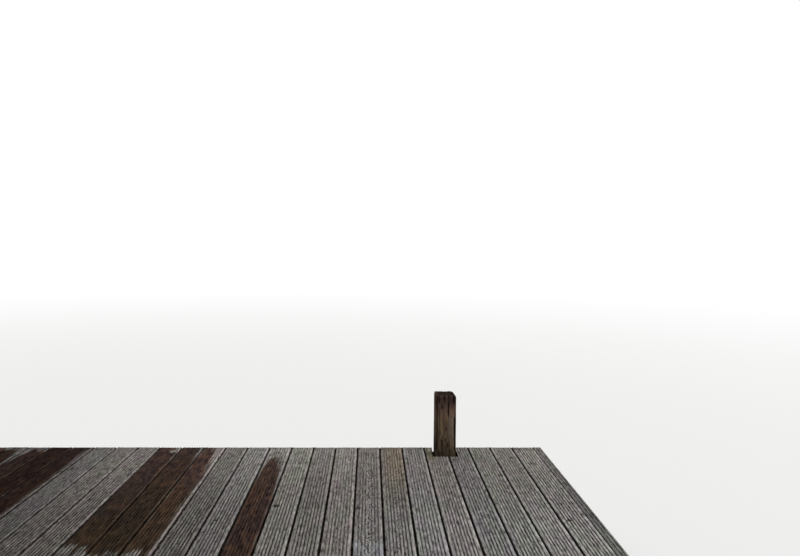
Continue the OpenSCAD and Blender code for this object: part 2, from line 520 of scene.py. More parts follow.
def chipped_top(quarter_turns, middle, half, top, rng):
    """Lowers the top along a plane that slopes down from a line across one corner, and presses the
    rows under it together. The end grain is pitted, and the pile leans a little to the right."""

    def shape(points, ring):
        flat = (points[..., 0] - middle[0]) + 1j * (points[..., 1] - middle[1])
        pits = 0.0012 * (1 + blotches(flat.real, flat.imag, 140, 140, rng))
        flat = flat * (-1j) ** quarter_turns
        edge = half - CHIP_W * (flat.imag + half) / (2 * half)
        drop = np.maximum(flat.real - edge, 0) * np.tan(np.radians(CHIP_SLOPE)) + pits
        share = np.clip((points[..., 2] - top + 0.08) / 0.08, 0, 1)
        points[..., 2] -= drop * share
        points[..., 0] += LEAN * points[..., 2] / top
        return points

    return shape


def pile_wood():
    """Brown wood in long streaks, ochre where the weathered skin has worn off, darker to the top, just
    over the deck and in every split, with knots, rings on the end grain and a black-green foot."""
    finish = Finish("pile_wood")
    lie = finish.mark("lie", "Vector")
    height = finish.place().split()[2]
    fibre = finish.noise(lie, 420, 12, 3.0)
    streak = finish.noise(lie, 95, 4, 2.0)
    crumb = finish.noise(lie, 130, 60, 2.0)
    patch = finish.noise(lie, 16, 7, 2.0)
    colour = finish.blend((patch + streak * 0.6).rise(0.68, 0.98), PILE_BROWN, PILE_OCHRE)
    colour = finish.blend(finish.mark("worn") * 0.8, colour, PILE_WORN)
    colour = finish.blend(streak.rise(0.47, 0.31) * 0.6, colour, PILE_DARK)
    purple = finish.tint(colour, PILE_CAST)
    colour = finish.blend(height.rise(deck_top + 0.20, deck_top + 0.30), colour, purple)
    old = (height + (streak - 0.5) * 0.30).rise(deck_top + 0.30, deck_top + 0.41)
    colour = finish.blend(old * 0.65, colour, PILE_DARK)
    # Darker towards the deck over the lowest 0.2 m of the pile
    damp = (height + (streak - 0.5) * 0.22).rise(deck_top + 0.19, deck_top - 0.02)
    colour = finish.blend(damp * 0.65, colour, PILE_DARK_OVER_DECK)
    wet = (height + (patch - 0.5) * 0.25).rise(0.30, 0.06)
    colour = finish.blend(wet, colour, PILE_ALGAE)
    ring = finish.growth_rings(lie, 1500, patch * 9)
    end = finish.mark("end")
    colour = finish.blend(end * (0.70 + 0.25 * ring), colour, PILE_DARK)
    knot = finish.mark("knot")
    colour = finish.blend((knot + (crumb - 0.5) * 1.2).rise(0.25, 0.95) * 0.8, colour, PILE_DARK)
    crack = finish.mark("crack") + (fibre - 0.5) * 0.3
    colour = finish.blend(crack.rise(0.10, 0.55), colour, PILE_SPLIT)
    colour = finish.dim(colour, 0.15 + 0.9 * fibre + 0.8 * crumb)
    relief = fibre * 0.0010 + streak * 0.0016 + crumb * 0.0008 + end * ring * 0.0008
    return finish.end(colour, 0.88 - 0.35 * wet, relief)


def random_splits(rng, low, high, count):
    """Splits as side, place across it, lower and upper end, half width and depth."""
    splits = []
    for _ in range(count):
        foot = rng.uniform(low, high - 0.12)
        top = min(foot + rng.uniform(*SPLIT_LENGTHS), high)
        place = rng.uniform(-0.05, 0.05)
        splits += [(rng.integers(4), place, foot, top, SPLIT_W, rng.uniform(*SPLIT_DEPTHS))]
    return splits


def crown_splits(rng, top):
    """Splits side by side that run down from a weathered top."""
    splits = []
    for side in range(4):
        for place in np.arange(-0.05, 0.06, CROWN_SPACING):
            foot = top - rng.uniform(*CROWN_LENGTHS)
            off = rng.uniform(-0.006, 0.006)
            splits += [(side, place + off, foot, top + 0.1, SPLIT_W, rng.uniform(*CROWN_DEPTHS))]
    return splits


def on_front(marks, chosen, heights=1):
    """Marks with those on the near face changed for chosen ones. Places on that face run from right
    to left, and the one or two numbers after them are heights over the deck."""
    marks = [mark for mark in marks if mark[0] != FRONT]
    for place, *rest in chosen:
        over_deck = [deck_top + height for height in rest[:heights]]
        marks += [(FRONT, -place, *over_deck, *rest[heights:])]
    return marks


pile_material = pile_wood()
for bent in range(1, BENTS + 1):
    for node in (f"mooring_pile_{bent}", f"water_pile_{bent}", f"bank_pile_{bent}"):
        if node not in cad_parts:
            continue
        rng = np.random.default_rng([bent, len(node)])
        low, high = box(node)
        moored = node.startswith("mooring")
        top = high[2]
        splits = random_splits(rng, 0.05, top, 7)
        knots = [
            (rng.integers(4), rng.uniform(-0.04, 0.04), rng.uniform(0.08, top), rng.uniform(*KNOT_RADII))
            for _ in range(6)
        ]
        worn_patches = [
            (
                side,
                rng.uniform(-0.03, 0.03),
                rng.uniform(0.3, 0.85) * top,
                WORN_HALF_W,
                rng.uniform(*WORN_HALF_H),
            )
            for side in (0, 1, 1, 2, 3)
        ]
        reshape = None
        if moored:
            splits += crown_splits(rng, top) + random_splits(rng, deck_top, top, 8)
            reshape = chipped_top((bent - 1) // 2, (low + high) / 2, (high - low)[0] / 2, top, rng)
        if bent == 1 and moored:
            splits = on_front(splits, FRONT_SPLITS, 2)
            knots = on_front(knots, FRONT_KNOTS)
            worn_patches = on_front(worn_patches, FRONT_WORN)
        wear = pile_wear(rng, splits, knots, worn_patches, deck_top, top)
        step = 0.006 if moored else 0.02
        part = squared_timber(low, high, 2, PILE_SPACING, step, PILE_ARRIS, rng, wear, reshape)
        put(f"split_{node}", [node], [part], pile_material)


# The crossheads, joists, fascias and end planks
# Sawn timber under the boards. Pairs of crossheads clasp the piles and carry the joists; planks
# close the sides and ends. Damp has browned them, and they are greyer where the weather reaches.
TIMBER_SPACING = 0.02
TIMBER_STEP = 0.06
TIMBER_ARRIS = 0.004
JOINT_GAP = 0.004
CROSSHEAD_W = 0.063
FRAME_BROWN = (0.115, 0.078, 0.048, 1)
FRAME_GREY = (0.125, 0.110, 0.092, 1)
FRAME_DARK = (0.034, 0.025, 0.018, 1)


def sawn_wood():
    """Brown wood with growth rings, saw marks across the grain, grey patches and darker ends."""
    finish = Finish("sawn_wood")
    lie = finish.mark("lie", "Vector")
    fibre = finish.noise(lie, 300, 6, 3.0)
    streak = finish.noise(lie, 60, 1.5, 2.0)
    patch = finish.noise(lie, 9, 1.3, 3.0)
    ring = finish.growth_rings(lie, 900, streak * 14)
    colour = finish.blend((patch + 0.35 * streak).rise(0.55, 0.85), FRAME_BROWN, FRAME_GREY)
    colour = finish.blend(ring * 0.35 + streak.rise(0.55, 0.3) * 0.5, colour, FRAME_DARK)
    colour = finish.blend(finish.mark("end") * 0.5, colour, FRAME_DARK)
    colour = finish.dim(colour, 0.6 + 0.8 * fibre)
    saw = (lie.split()[2] * 1400).math("SINE")
    relief = fibre * 0.0004 + ring * 0.0002 + saw * 0.00006
    return finish.end(colour, 0.82, relief)


def plank_wear(rng):
    """Faces that wander in by up to a millimetre."""

    def wear(side, across, along):
        depth = 0.0005 * (1 + blotches(across + side * 0.4, along, 20, 3, rng))
        return depth, np.zeros_like(depth), {}

    return wear


def lengths(node, joints):
    """The boxes of a timber that is made of lengths, from joint to joint along the deck."""
    low, high = box(node)
    stops = [low[0] - JOINT_GAP / 2, *sorted(joints), high[0] + JOINT_GAP / 2]
    for start, stop in zip(stops, stops[1:]):
        one_low, one_high = low.copy(), high.copy()
        one_low[0] = start + JOINT_GAP / 2
        one_high[0] = stop - JOINT_GAP / 2
        yield one_low, one_high


def sawn(node, boxes, way, seed):
    """The timbers of one node, each with its own faces and grain."""
    rng = np.random.default_rng(seed)
    parts = [
        squared_timber(low, high, way, TIMBER_SPACING, TIMBER_STEP, TIMBER_ARRIS, rng, plank_wear(rng))
        for low, high in boxes
    ]
    put(f"sawn_{node}", [node], parts, frame_material)


def middle_of(node):
    """The middle of a node's box."""
    return sum(box(node)) / 2


frame_material = sawn_wood()
bent_x = {bent: middle_of(f"bank_pile_{bent}")[0] for bent in range(1, BENTS + 1)}
for bent in range(1, BENTS + 1):
    low, high = box(f"crossheads_{bent}")
    left_high, right_low = high.copy(), low.copy()
    left_high[0] = low[0] + CROSSHEAD_W
    right_low[0] = high[0] - CROSSHEAD_W
    sawn(f"crossheads_{bent}", [(low, left_high), (right_low, high)], 1, 100 + bent)
joist_nodes = sorted(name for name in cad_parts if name.startswith("joist_"))
for line, node in enumerate(joist_nodes, start=1):
    joints = [bent_x[bent] for bent in range(2, BENTS) if (bent + line) % 2 == 0]
    sawn(node, lengths(node, joints), 0, 200 + line)
for seed, node in enumerate(("water_fascia", "bank_fascia")):
    sawn(node, lengths(node, [bent_x[bent] for bent in range(3, BENTS, 2)]), 0, 300 + seed)
for seed, node in enumerate(("right_end_plank", "left_end_plank")):
    sawn(node, [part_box(node)], 1, 400 + seed)


# The deck boards
# Grooved boards, screwed down side by side with a gap between each two. Their crests are worn and
# silvery, dirt and painted shade lie in the grooves, and some are brown with damp, with ragged ends
# to the stain.
BOARD_W = 0.140
BOARD_T = 0.028
BOARD_GAP = 0.010
STRIP_W = 0.050
STRIP_GAP = 0.004
GROOVES = 7
EDGE_RIDGE = 0.017
GROOVE_W = 0.007
GROOVE_D = 0.0034
GROOVE_PITCH = (BOARD_W - 2 * EDGE_RIDGE - GROOVE_W) / (GROOVES - 1)
BOARD_STEP = 0.05
SPLICED_BOARD = 8
SPLICE_GAP = 0.003
NOTCH_SIDE = 0.016
NOTCH_FRONT = 0.012

# Half a groove, from the middle of its floor to the crest, and a board's edge, from its wall to the
# first crest: each point's way across and its depth under the crest
GROOVE_WALL = [(0.0019, GROOVE_D), (0.0033, 0.0010), (0.0043, 0.0002)]
BOARD_EDGE = [(0, 0.0052), (0.0005, 0.0024), (0.0018, 0.0009), (0.0042, 0.0001)]
EDGE_CREST = 0.010

# How far the boards differ in length, have settled, cupped, shrunk in width and bowed, how far their
# crests are worn, and how far in and down an end is rounded
BOARD_SLACK = 0.0025
SETTLED = 0.0008
CUPPED = 0.0010
NARROWER = 0.004
BOWED = 0.0005
CREST_WEAR = 0.0004
ROUNDED_END = (0.003, 0.0008)

# Where the end grain starts and ends, in from an end, and how deep under the face the painted
# shade on the walls in the gaps is full and where it begins
END_GRAIN = (0.006, 0.003)
GAP_WALL_SHADE = (0.014, 0.007)

CREST_GREY = (0.212, 0.197, 0.189, 1)
GROOVE_DIRT_AND_SHADE = (0.052, 0.047, 0.043, 1)
CAST_GREEN = (0.975, 1.015, 0.955, 1)
CAST_PINK = (1.02, 0.975, 1.02, 1)
DAMP_ORANGE = (0.060, 0.0355, 0.0255, 1)
DAMP_PURPLE = (0.040, 0.027, 0.025, 1)
KNOT_DARK = (0.018, 0.014, 0.012, 1)
LICHEN = (0.42, 0.41, 0.38, 1)
MOSS = (0.135, 0.126, 0.086, 1)
MOSS_PALE = (0.360, 0.360, 0.272, 1)
MOSS_FILM = (0.93, 0.92, 0.81, 1)

# Moss beside a mooring pile: half the width and length of its patch, and how far its middle lies to
# the left of the notch and in from the far edge
MOSS_REACH = (0.034, 0.13)
MOSS_OFF = (0.006, 0.12)

# Damp stretches by board number from the right, in metres: their start and end from the far edge,
# the dry widths along their left and right edge, at the start and further on, and how soon they change.
STAINS = {
    12: (0.25, 2.25, 0.025, -0.02, 0.045, -0.02, 0.30),
    15: (-0.05, 1.42, -0.002, -0.008, 0.075, 0.010, 0.30),
    16: (-0.08, 1.44, 0.0, 0.0, 0.022, -0.02, 0.30),
    17: (-0.08, 1.38, 0.0, 0.0, 0.100, -0.02, 0.10),
    21: (-0.04, 2.40, -0.003, -0.007, 0.030, 0.015, 0.50),
    22: (-0.08, 2.55, 0.0, 0.0, 0.002, -0.02, 0.15),
    23: (0.08, 2.30, 0.035, -0.02, 0.0, 0.0, 0.15),
    24: (0.05, 2.60, 0.0, 0.0, 0.040, -0.02, 0.30),
    25: (-0.08, 2.10, 0.010, -0.01, 0.0, 0.0, 0.30),
    31: (0.35, 2.80, 0.0, 0.0, 0.040, 0.015, 0.60),
    36: (0.04, 1.10, 0.030, -0.01, 0.0, 0.0, 0.40),
    37: (-0.08, 1.35, 0.0, 0.0, 0.010, -0.02, 0.30),
    44: (0.60, 2.80, 0.040, 0.010, 0.0, 0.0, 0.30),
    45: (0.25, 2.80, 0.0, 0.0, 0.010, -0.01, 0.30),
    51: (0.03, 1.80, 0.0, 0.0, 0.060, 0.015, 0.40),
    55: (-0.08, 2.80, 0.0, 0.0, 0.012, -0.01, 0.30),
}

# How light the boards are, from the ripped one at the right end on, and those that stand out for
# the dirt in their grooves or for spots along their middle
LIGHTNESS = [0.90, 1.11, 0.94, 0.98, 0.90, 0.94, 0.98, 0.82, 0.85, 1.08, 0.98, 1.14, 1.02]
LIGHTNESS += [1.0, 0.80, 1.05, 0.80, 0.86, 0.82, 0.74, 0.65, 0.45, 0.40, 0.55, 0.45]
DIRT = {0: 1.2, 1: 1.3, 8: 0.8, 9: 0.8, 19: 0.8, 20: 0.8}
SPOTS = {4: 0.07, 7: 0.09, 8: 0.18, 9: 0.05}

# Lighter and darker stretches: board, distance from the far edge, half the length and gain in
# light. The rows for boards 2 and 5 are painted sheen.
SHADES = [
    (0, 1.10, 0.70, -0.30),
    (1, 0.25, 0.20, 0.07),
    (2, 1.10, 0.35, 0.14),
    (5, 1.15, 0.25, 0.09),
    (6, 1.37, 0.030, 0.16),
    (7, 0.75, 0.15, -0.06),
    (8, 0.60, 0.28, -0.16),
    (8, 1.36, 0.035, 0.26),
    (10, 0.65, 0.30, -0.15),
    (11, 0.65, 0.30, -0.13),
    (12, 0.10, 0.12, 0.10),
]

# How far ragged ends of a damp stretch reach out at its start and end
FINGERS = (0.10, 0.14)

# Where colours change, in metres: the near end, from the far edge, and the right and left ridges,
# with painted highlight and painted shade, from a board's middle. Then the gains in light or in red,
# green and blue. The boards with a painted bluish sky sheen and those with a painted sheen are the
# first so many from the right end.
NEAR_END = (0.3, 1.3)
RIDGE_HIGHLIGHT_FROM = (0.055, 0.066)
RIDGE_SHADE_FROM = (0.050, 0.060)
CASTS = [(1.02, 0.99, 0.985), (1.0, 1.0, 0.985), (0.99, 1.01, 0.985), (0.99, 1.0, 1.02)]
# Painted highlight on the right ridge, less on the boards at the right end, and painted shade on the
# left ridge
RIDGE_HIGHLIGHT = 0.36
RIDGE_HIGHLIGHT_AT_END = 0.08
RIDGE_SHADE = 0.10
BLEACHED_FAR_END = 0.10
# Painted shade at the near ends, growing towards the left
NEAR_END_SHADE = 0.28
# Painted bluish sky sheen at the near ends of the first boards
SKY_SHEEN_BOARDS = 8
SKY_SHEEN_NEAR_END = (0.07, 0.11, 0.14)
# Painted sheen, lighter, at the near ends of fewer boards
SHEEN_BOARDS = 7
SHEEN_FROM = (0.9, 1.25)
SHEEN = 0.10
OCHRE_BOARD = 7
OCHRE_UP_TO = (0.25, 1.1)
OCHRE_FAR_END = (0.05, -0.06, -0.20)
OLIVE_BOARDS = (15, 16, 17)
OLIVE_NEAR_END = (0.02, 0.09, -0.11)
NEWER_LENGTH = (0.08, 0.18, 0.25)
# How much darker a board's end rows are, at the far and the near end
FAR_END_ROW_DARKER = 0.5
NEAR_END_ROW_DARKER = 0.85

# Knots and a patch of lichen: distance from the right end and from the far edge, and radius
KNOTS = [
    (1.667, 0.941, 0.022),
    (1.228, 0.966, 0.016),
    (2.071, 0.168, 0.013),
    (1.952, 1.114, 0.013),
    (1.033, 1.015, 0.011),
    (1.050, 1.440, 0.010),
    (0.155, 1.114, 0.020),
    (0.615, 0.234, 0.010),
]
LICHEN_PATCH = (2.490, 0.078, 0.030)


def board_section():
    """The closed outline of a board, anticlockwise seen from its near end, and how high each point
    lies between the grooves' floor, 0, and the crests, 1. A groove is six points, a crest one more."""
    first = -BOARD_W / 2 + EDGE_RIDGE + GROOVE_W / 2
    centres = first + GROOVE_PITCH * np.arange(GROOVES)
    wall_x, wall_d = np.array(GROOVE_WALL).T
    offsets = np.concatenate([[-GROOVE_PITCH / 2], -wall_x[::-1], wall_x])
    depths = np.concatenate([[0], wall_d[::-1], wall_d])
    x = (centres[:, None] + offsets).ravel()
    z = np.tile(BOARD_T - depths, GROOVES)
    x[0] = first - EDGE_CREST
    edge_x, edge_d = np.array(BOARD_EDGE).T
    edge_z = BOARD_T - edge_d
    x = np.concatenate([-BOARD_W / 2 + edge_x, x, [-x[0]], BOARD_W / 2 - edge_x[::-1]])
    z = np.concatenate([edge_z, z, [BOARD_T], edge_z[::-1]])
    crest = np.clip(1 - (BOARD_T - z) / GROOVE_D, 0, 1) ** 1.4
    under_x = np.array([-1, -1, -0.986, 0.986, 1, 1]) * BOARD_W / 2
    under_z = [0.5 * BOARD_T, 0.001, 0, 0, 0.001, 0.5 * BOARD_T]
    x = np.concatenate([under_x, x[::-1]])
    z = np.concatenate([under_z, z[::-1]])
    return x, z, np.concatenate([np.full(6, 0.1), crest[::-1]])


def cut_section(place, side):
    """The outline of a board that is cut through at a place, with all that lies to the right of the
    cut (side 1) or to the left of it (side -1) folded onto a straight wall, evenly from the
    underside up to the face."""
    x, z, crest = board_section()
    gone = np.flatnonzero(side * (x - place) > 0)
    upwards = gone if side > 0 else np.roll(gone, -3)[::-1]
    face = np.interp(place, x[:5:-1], z[:5:-1])
    x[upwards] = place
    z[upwards] = np.linspace(0, face, len(upwards))
    crest[upwards] = 0.1
    return x, z, crest


def damp_depth(number, x, inshore, rng):
    """How far a point lies inside a damp stretch, in metres: the least of its distances from the
    two ends, which reach further along some ridges than along others, and from the dry edges,
    whose widths w change by w1 + (w0 - w1) * exp(-distance / length)."""
    fingers = rng.uniform(0, 1, (2, 12)) ** 2
    if number not in STAINS:
        return np.full(np.broadcast(x, inshore).shape, -1.0)
    start, end, left_0, left_1, right_0, right_1, length = STAINS[number]
    ridge = np.floor((x + BOARD_W / 2) / GROOVE_PITCH).astype(int)
    change = np.exp(-np.maximum(inshore - start, 0) / length)
    left = left_1 + (left_0 - left_1) * change
    right = right_1 + (right_0 - right_1) * change
    from_start = inshore - start + FINGERS[0] * fingers[0][ridge]
    from_end = end + FINGERS[1] * fingers[1][ridge] - inshore
    from_left = 1.6 * (x + BOARD_W / 2 - left) + (left_0 == 0)
    from_right = 1.6 * (BOARD_W / 2 - right - x) + (right_0 == 0)
    return np.minimum.reduce(np.broadcast_arrays(from_start, from_end, from_left, from_right))


def board_tone(number, x, inshore, damp, rng):
    """A board's tone: a factor on each of red, green and blue, and how deep the dirt and painted shade
    are in its grooves. Far ends are bleached. Near ends carry painted shade to the left, and a painted
    sheen, lighter and bluer, to the right. The right ridge carries a painted highlight and the left
    one painted shade. One board is ochre at its far end, some are olive at their damp near end, and
    the nearer length of one is newer. The end rows are darker."""
    light = 1 + 0.06 * rng.normal()
    if number < len(LIGHTNESS):
        light = LIGHTNESS[number]
    tone = np.ones((*np.broadcast(x, inshore).shape, 4))
    tone[..., :3] = light * np.array(CASTS[rng.integers(4)])

    def gain(share, amount):
        """Times 1 + share * amount, where an amount may be one for each colour."""
        tone[..., :3] *= 1 + share[..., None] * np.array(amount)

    to_near_end = smooth_step(inshore, *NEAR_END)
    # Painted highlight on the right ridge and painted shade on the left ridge, from how the light falls
    right_highlight = (RIDGE_HIGHLIGHT if number > 1 else RIDGE_HIGHLIGHT_AT_END) * smooth_step(x, *RIDGE_HIGHLIGHT_FROM)
    left_shade = RIDGE_SHADE * smooth_step(-x, *RIDGE_SHADE_FROM)
    gain(right_highlight - left_shade + BLEACHED_FAR_END * np.exp(-inshore / 0.20), 1)
    # Painted shade at the near ends, more so on boards further left
    gain(to_near_end * smooth_step(number, 5, 14), -NEAR_END_SHADE)
    # Painted bluish sky sheen, lighter and bluer, at the near ends
    if number <= SKY_SHEEN_BOARDS:
        gain(to_near_end, SKY_SHEEN_NEAR_END)
    # Painted sheen, lighter, close to the near end
    if number <= SHEEN_BOARDS:
        gain(smooth_step(inshore, *SHEEN_FROM), SHEEN)
    if number == OCHRE_BOARD:
        ochre = (1 - smooth_step(inshore, *OCHRE_UP_TO)) * smooth_step(x, -0.11, 0.01)
        gain(ochre, OCHRE_FAR_END)
    if number in OLIVE_BOARDS:
        gain(to_near_end * smooth_step(damp, 0, 0.01), OLIVE_NEAR_END)
    if number == SPLICED_BOARD:
        gain(1.0 * (inshore > (cad_high[1] - cad_low[1]) / 2), NEWER_LENGTH)
    for shaded, level, reach, amount in SHADES:
        if shaded == number:
            gain(np.exp(-(((inshore - level) / reach) ** 2)), amount)
    # The end rows are darker
    tone[-1, :, :3] *= FAR_END_ROW_DARKER
    tone[0, :, :3] *= FAR_END_ROW_DARKER if number == SPLICED_BOARD else NEAR_END_ROW_DARKER
    less = 1 - 0.2 * smooth_step(-x, 0.040, 0.050)
    tone[..., 3] = DIRT.get(number, 1.0) * less * (0.55 + 0.45 * smooth_step(inshore, 0.1, 1.2))
    return tone


def board(number, centre, ends, seed, cut=(np.inf, 0, 1), post=None):
    """One board: its section carried from the near to the far end, and cut along at one side from
    where the cut starts. The crests are worn by up to a millimetre, and the board is a little
    cupped and bowed. Moss grows beside a post, as a bell curve both ways."""
    rng = np.random.default_rng(seed)
    start, stop = ends
    plain = post is None and number != SPLICED_BOARD
    rows = int(round((stop - start) / (BOARD_STEP if plain else BOARD_STEP / 2))) + 1
    y = np.linspace(start + ROUNDED_END[0], stop - ROUNDED_END[0], rows)
    y = np.concatenate([[start], y, [stop]])
    cut_start, cut_place, cut_side = cut
    if start < cut_start < stop:
        y = np.sort(np.append(y, (cut_start - 0.0005, cut_start)))
    row = y[:, None]
    x, z, crest = (
        np.where(row < cut_start, whole, cut_away)
        for whole, cut_away in zip(board_section(), cut_section(cut_place, cut_side))
    )
    wear = CREST_WEAR * (1 + blotches(x, row, 90, 5, rng))
    settled = rng.uniform(0, SETTLED)
    cup = rng.uniform(0, CUPPED) * (1 - (2 * x / BOARD_W) ** 2)
    top = smooth_step(z, 0.6 * BOARD_T, 0.8 * BOARD_T)
    narrow = 1 - NARROWER * (1 + blotches(0.5, row, 1, 1.5, rng))
    bow = BOWED * blotches(0.5, row, 1, 0.8, rng) * (number > 0)
    points = np.zeros((*x.shape, 3))
    points[..., 0] = centre + x * narrow + bow
    points[..., 1] = row
    points[..., 2] = deck_top - BOARD_T + z - top * (settled + cup + wear)
    points[[0, -1], :, 2] -= ROUNDED_END[1] * top[[0, -1]]
    lie = np.stack(np.broadcast_arrays(x + rng.uniform(-9, 9), z, row + rng.uniform(-9, 9)), -1)
    inshore = cad_high[1] - row
    damp = damp_depth(number, x, inshore, rng)
    tone = board_tone(number, x, inshore, damp, rng)
    moss = np.zeros(points.shape[:2])
    if post is not None:
        beside = (points[..., 0] - post[0]) / MOSS_REACH[0]
        moss = np.exp(-(beside**2) - ((row - post[1]) / MOSS_REACH[1]) ** 2)
    marks = {
        "lie": lie,
        "crest": crest,
        "damp": damp,
        "tone": tone,
        "moss": moss,
        "spots": SPOTS.get(number, 0) * np.exp(-((x / 0.025) ** 2)) * smooth_step(inshore, 0, 0.5),
    }
    return tube(points, marks)


def grooved_wood():
    """Silver-grey crests over grooves darkened by dirt and painted shade, mottled in short dashes along
    the grain, with casts of green and pink, knots, hairline checks and pale lichen. Damp stretches
    turn purple and orange brown, with a frayed edge, moss is olive and paler at the far end, and walls
    carry painted shade downwards into the gaps."""
    finish = Finish("grooved_wood")
    lie = finish.mark("lie", "Vector")
    crest = finish.mark("crest")
    fibre = finish.noise(lie, 600, 16, 3.0)
    streak = finish.noise(lie, 120, 3.5, 2.0)
    crumb = finish.noise(lie, 110, 22, 2.5)
    patch = finish.noise(lie, 32, 11, 3.0)
    drift = finish.noise(lie, 7, 1.6, 2.0)
    # Grooves, walls and undersides blend to a colour that is dirt and painted shade together
    face = (crest + (crumb - 0.5) * 0.7).rise(0.10, 0.95)
    face = 1 - finish.mark("tone", "Alpha") * (0.5 + patch) * (1 - face)
    tone = finish.mark("tone", "Color")
    colour = finish.tint(finish.blend(face, GROOVE_DIRT_AND_SHADE, CREST_GREY), tone)
    cast = finish.blend(finish.noise(lie, 14, 6, 2.0).rise(0.35, 0.65), CAST_GREEN, CAST_PINK)
    colour = finish.tint(colour, cast)
    light = fibre * 1.2 + streak * 0.6 + crumb * 2.9 + patch * 1.4 + drift * 0.6 - 2.35
    colour = finish.dim(colour, light)
    checks = finish.noise(lie, 110, 0.9, 1.0) - 0.5
    hair = checks.math("ABSOLUTE").rise(0.010, 0.003) * drift.rise(0.5, 0.6)
    colour = finish.blend(hair * 0.7, colour, GROOVE_DIRT_AND_SHADE)
    cell = {"Vector": finish.stretch(lie, 9, 5), "Scale": 1.0}
    near = finish.node("ShaderNodeTexVoronoi", {}, cell, "Distance")
    chosen = finish.node("ShaderNodeTexVoronoi", {}, cell, "Color").split()[0].rise(0.955, 0.96)
    knot = (near + (patch - 0.5) * 0.08).rise(0.10, 0.05) * chosen
    point = finish.place()

    def round_mark(mark, ragged):
        """1 out to half a mark's radius from its middle and 0 beyond it, with a ragged edge."""
        from_right, inshore, radius = mark
        spot = (cad_high[0] - from_right, cad_high[1] - inshore, deck_top)
        return (finish.away(point, spot) + (crumb - 0.5) * ragged).rise(radius, radius * 0.5)

    for mark in KNOTS:
        knot = knot.math("MAXIMUM", round_mark(mark, 0.02))
    colour = finish.blend(knot * 0.85, colour, KNOT_DARK)
    speck = finish.noise(lie, 110, 50, 1.0) + (fibre - 0.5) * 0.2
    spots = finish.mark("spots")
    pit = (speck - spots * 0.8).rise(0.33, 0.27)
    colour = finish.blend(pit * 0.6, colour, KNOT_DARK)
    _, far, height = point.split()
    at_end = far.math("ABSOLUTE").rise(*(cad_high[1] - depth for depth in END_GRAIN))
    lichen = (speck + spots).rise(0.67, 0.73) * (1 - at_end)
    colour = finish.blend(lichen * 0.5, colour, LICHEN)
    damp = finish.mark("damp") + (streak - 0.5) * 0.12 + (crumb - 0.5) * 0.07
    damp = damp.rise(-0.004, 0.024)
    brown = finish.blend((drift * 0.4 + patch * 0.8).rise(0.48, 0.76), DAMP_PURPLE, DAMP_ORANGE)
    light = fibre * 1.2 + streak * 1.0 + crumb * 2.4 + patch * 1.4 + face * 0.5 - 2.30
    brown = finish.dim(finish.tint(brown, tone), light)
    colour = finish.blend(damp, colour, brown)
    colour = finish.blend(round_mark(LICHEN_PATCH, 0.06) * 0.4, colour, LICHEN)
    moss = finish.mark("moss") + (crumb - 0.5) * 1.2
    colour = finish.blend(moss.rise(0.0, 0.4), colour, finish.tint(colour, MOSS_FILM))
    growth = finish.blend(far.rise(cad_high[1] - 0.12, cad_high[1] - 0.04), MOSS, MOSS_PALE)
    colour = finish.blend(moss.rise(0.45, 0.70), colour, growth)
    # Painted shade on the walls down in the gaps, but not on the far end grain
    out_of_gap_shade = height.rise(*(deck_top - depth for depth in GAP_WALL_SHADE))
    colour = finish.dim(colour, 0.32 + 0.68 * out_of_gap_shade.math("MAXIMUM", at_end))
    relief = fibre * 0.0006 + streak * 0.0008 + crumb * 0.0008 - hair * 0.0010 + knot * 0.0006
    return finish.end(colour, 0.9 - 0.15 * damp, relief)


board_material = grooved_wood()
first_edge = cad_high[0] - STRIP_W - STRIP_GAP
pitch = BOARD_W + BOARD_GAP
middle_y = (cad_low[1] + cad_high[1]) / 2
board_x = {}
for node in sorted(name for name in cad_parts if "boards" in name):
    low, high = box(node)
    first = max(1, int(round((first_edge - high[0]) / pitch)) + 1)
    last = int(round((first_edge - low[0] + BOARD_GAP) / pitch))
    parts = []
    if node == "right_end_boards":
        centre = cad_high[0] - STRIP_W + BOARD_W / 2
        parts += [board(0, centre, (low[1], high[1]), 500, (low[1], STRIP_W - BOARD_W / 2, 1))]
    for number in range(first, last + 1):
        centre = first_edge - BOARD_W / 2 - (number - 1) * pitch
        board_x[number] = centre
        seed = 500 + number
        whole = (low[1], high[1] - BOARD_SLACK * np.random.default_rng(seed).uniform())
        if number == SPLICED_BOARD:
            parts += [board(number, centre, (middle_y + SPLICE_GAP / 2, whole[1]), seed)]
            parts += [board(number, centre, (low[1], middle_y - SPLICE_GAP / 2), seed + 400)]
        elif node.startswith("notched"):
            pile_low, pile_high = box(f"mooring_pile_{node[-1]}")
            notch_y = pile_low[1] - NOTCH_FRONT
            notch_left, notch_right = pile_low[0] - NOTCH_SIDE, pile_high[0] + NOTCH_SIDE
            cut = (notch_y, notch_right - centre, -1)
            if number == last:
                cut = (notch_y, notch_left - centre, 1)
            post = (notch_left - MOSS_OFF[0], high[1] - MOSS_OFF[1])
            parts += [board(number, centre, whole, seed, cut, post)]
        else:
            parts += [board(number, centre, whole, seed)]
    put(f"weathered_{node}", [node], parts, board_material)


# The dirt in the gaps
# Crumbs of rot and dust that have packed between the boards wherever something below holds them,
# on the joists and the fascias. They are dark and a little mossy, and sink in the middle. Left of
# each mooring pile a pale green pad has grown out of the notch's edge.
DIRT_ON_JOISTS = (0.014, 0.020)
DIRT_ON_FASCIAS = (0.027, 0.032)
DIRT_OVERHANG = 0.003
DIRT_OVERLAP = 0.0012
DIRT_INSET = 0.001
DIRT_LEAST = 0.0006
DIRT_UNDER_FACE = 0.0012
DIRT_BLACK = (0.016, 0.013, 0.010, 1)
DIRT_MOSSY = (0.050, 0.046, 0.024, 1)
PAD_W = 0.010
PAD_H = 0.030


